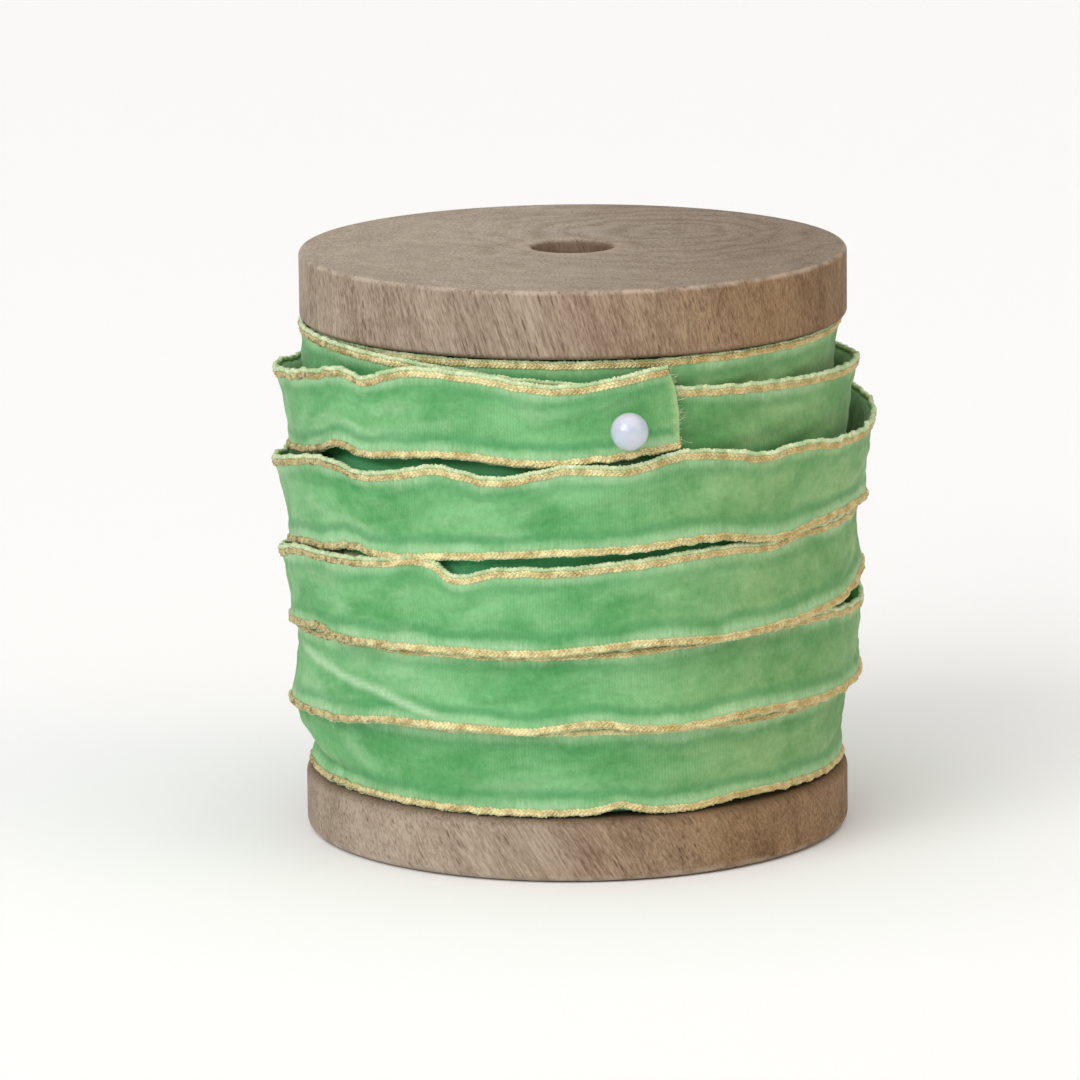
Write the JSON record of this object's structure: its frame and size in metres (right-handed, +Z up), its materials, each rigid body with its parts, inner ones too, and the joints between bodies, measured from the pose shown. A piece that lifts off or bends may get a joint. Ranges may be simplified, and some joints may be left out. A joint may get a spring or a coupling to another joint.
{
  "type": "ribbon spool",
  "caption": "Wooden spool wound with narrow gold-edged velvet ribbon, its free end held by a pearl-headed pin, with a bore through the middle for a spindle.",
  "frame": {"origin": "centre of the base's underside, on the spindle axis", "axes": "+Z up along the spindle axis, -Y the front, where the ribbon's free end is pinned, +X to the right seen from the front"},
  "size_m": [0.0982, 0.1024, 0.0953],
  "materials": {
    "wood": "bare turned hardwood, fine grain with short dark pores, sanded and unvarnished",
    "barrel_wood": "bare turned hardwood, bored through",
    "velvet": "short-pile green velvet with fine crosswise ribs and brushed patches",
    "gold_edge": "knitted metallic gold yarn",
    "paper_tape": "matt adhesive paper",
    "pearl": "white pearl lustre with a faint lilac tint",
    "pin_steel": "polished pin wire"
  },
  "bodies": {
    "spool": {"bottom_flange": "wood", "top_flange": "wood", "barrel": "barrel_wood", "starting_tape": "paper_tape", "inner_layers": "velvet", "third_layer_velvet": "velvet", "third_layer_upper_edge": "gold_edge", "third_layer_lower_edge": "gold_edge", "second_layer_velvet": "velvet", "second_layer_upper_edge": "gold_edge", "second_layer_lower_edge": "gold_edge", "outer_layer_velvet": "velvet", "outer_layer_upper_edge": "gold_edge", "outer_layer_lower_edge": "gold_edge"},
    "ribbon_tail": {"tail_velvet": "velvet", "tail_upper_edge": "gold_edge", "tail_lower_edge": "gold_edge"},
    "pearl_pin": {"pearl_bead": "pearl", "pin_shank": "pin_steel"}
  },
  "joints": [
    {"name": "pin_pull", "type": "slide", "parent": "spool", "child": "pearl_pin", "axis": [-0.4464, -0.8949, 0], "range_m": [0, 0.08]},
    {"name": "tail_lift", "type": "hinge", "parent": "spool", "child": "ribbon_tail", "pos_m": [-0.04309, -0.02291, 0.0737], "axis": [0, 0, -1], "range_deg": [0, 20]}
  ],
  "couplings": [
    {"joint": "tail_lift", "follows": "pin_pull", "rad_per_m": 4.363}
  ]
}
